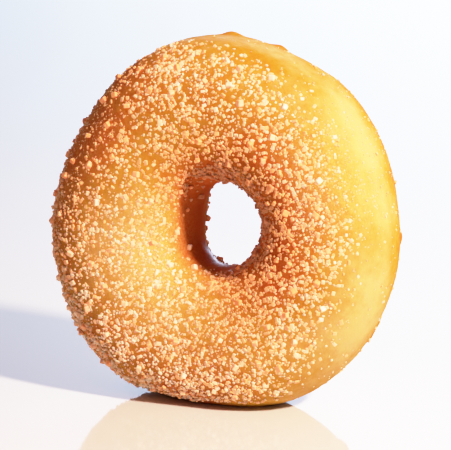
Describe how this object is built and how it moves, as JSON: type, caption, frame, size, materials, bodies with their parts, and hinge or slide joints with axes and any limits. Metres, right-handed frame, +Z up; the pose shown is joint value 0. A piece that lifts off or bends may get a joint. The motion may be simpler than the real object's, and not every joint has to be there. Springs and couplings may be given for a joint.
{
  "type": "sugared ring doughnut",
  "caption": "Ring doughnut of golden fried dough with an open hole, coated in coarse sugar and standing on a small flat spot of its rim.",
  "frame": {"origin": "on the flat spot that the doughnut stands on, under the middle of the whole", "axes": "+Z up, Y along the ring's axis with the shown face towards -Y, +X to the shown face's right"},
  "size_m": [0.0836, 0.0344, 0.0838],
  "materials": {
    "crust": "golden fried dough crust with coarse granulated sugar stuck to it"
  },
  "bodies": {
    "root": {"doughnut": "crust"}
  },
  "joints": []
}
